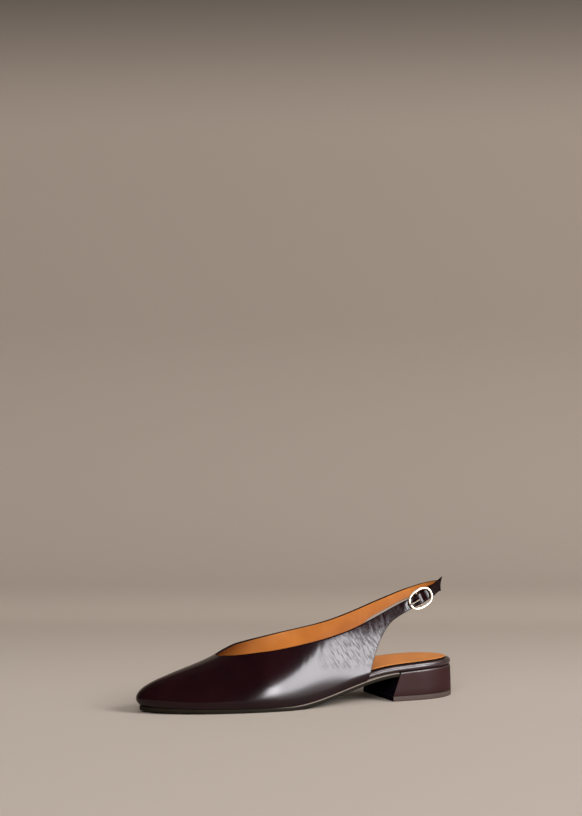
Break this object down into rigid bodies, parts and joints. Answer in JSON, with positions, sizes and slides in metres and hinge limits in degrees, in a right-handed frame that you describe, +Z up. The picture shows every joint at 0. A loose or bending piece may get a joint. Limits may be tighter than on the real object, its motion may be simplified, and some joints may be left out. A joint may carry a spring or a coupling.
{
  "type": "slingback flat",
  "caption": "Left pointed-toe slingback flat in glossy dark red leather with a tan lining, a buckled heel strap and a low block heel.",
  "frame": {"origin": "on the floor under the middle of the shoe's length and width", "axes": "-X towards the toe, +X towards the heel, -Y the outer side with the buckle, +Y the inner side, +Z up"},
  "size_m": [0.2651, 0.0717, 0.0956],
  "materials": {
    "glossy_upper": "glossy dark red",
    "sole_edge": "matte olive brown edge",
    "wrapped_rim": "glossy dark red",
    "tan_leather": "soft matte tan",
    "wrapped_heel": "satin dark red",
    "tip_rubber": "matte taupe",
    "pale_metal": "polished pale gold plating"
  },
  "bodies": {
    "root": {"upper": "glossy_upper", "outsole": "sole_edge", "insole_board": "wrapped_rim", "insole_sock": "tan_leather", "heel_block": "wrapped_heel", "heel_tip": "tip_rubber", "buckle_frame": "pale_metal", "buckle_prong": "pale_metal"}
  },
  "joints": []
}
